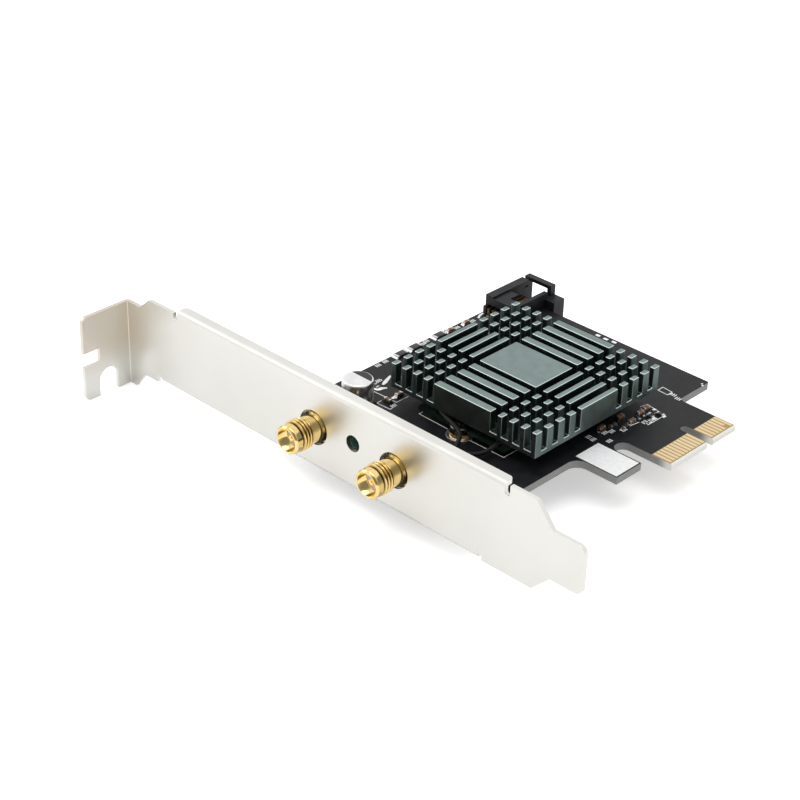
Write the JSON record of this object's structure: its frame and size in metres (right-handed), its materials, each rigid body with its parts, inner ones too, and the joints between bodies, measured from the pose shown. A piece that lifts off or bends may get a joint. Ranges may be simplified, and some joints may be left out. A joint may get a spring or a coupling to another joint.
{
  "type": "wireless network expansion card",
  "caption": "Short computer expansion card: black board with gold edge contacts, finned heatsink over a radio module, steel bracket with gold antenna jacks.",
  "frame": {"origin": "tip of the edge connector's tongue, on the middle of its key, half way through the board", "axes": "+X into the connector and along the bracket, +Y away from the bracket, +Z the component side"},
  "size_m": [0.1201, 0.0895, 0.0225],
  "materials": {
    "plated_steel": "bright nickel plating, slightly frosted",
    "screw_steel": "zinc plated",
    "board_black": "black satin solder mask over glass laminate",
    "contact_gold": "gold plated",
    "jack_gold": "polished gold plating",
    "insulator_white": "waxy white",
    "light_green": "dark green tinted, clear",
    "tinned": "tin plated",
    "heatsink_grey": "grey anodised, sawn edges bright",
    "pad_grey": "matt",
    "shield_steel": "tin plated, pressed",
    "module_green": "dark solder mask",
    "black_plastic": "moulded, fine matt",
    "standoff_brass": "turned, tinned rim",
    "lead_black": "smooth jacket",
    "solder": "bright solder",
    "can_aluminium": "bright drawn can, black half on top",
    "chip_brown": "brown ceramic with tinned ends",
    "chip_black": "black film with tinned ends"
  },
  "bodies": {
    "root": {"bracket": "plated_steel", "bracket_screws": "screw_steel", "circuit_board": "board_black", "edge_contacts_top": "contact_gold", "edge_contacts_bottom": "contact_gold", "left_jack_body": "jack_gold", "left_jack_insulator": "insulator_white", "left_jack_pin": "jack_gold", "right_jack_body": "jack_gold", "right_jack_insulator": "insulator_white", "right_jack_pin": "jack_gold", "status_light_lens": "light_green", "status_light_leads": "tinned", "heatsink": "heatsink_grey", "thermal_pad": "pad_grey", "module_shield": "shield_steel", "module_board": "module_green", "module_socket": "black_plastic", "module_socket_contacts": "tinned", "module_standoff": "standoff_brass", "module_screw": "screw_steel", "coax_receptacles": "contact_gold", "coax_plugs": "tinned", "right_coax_lead": "lead_black", "left_coax_lead": "lead_black", "lead_joints": "solder", "header_housing": "black_plastic", "header_pins": "contact_gold", "capacitor_can": "can_aluminium", "capacitor_base": "black_plastic", "capacitor_leads": "tinned", "chip_capacitors": "chip_brown", "chip_resistors": "chip_black"}
  },
  "joints": []
}
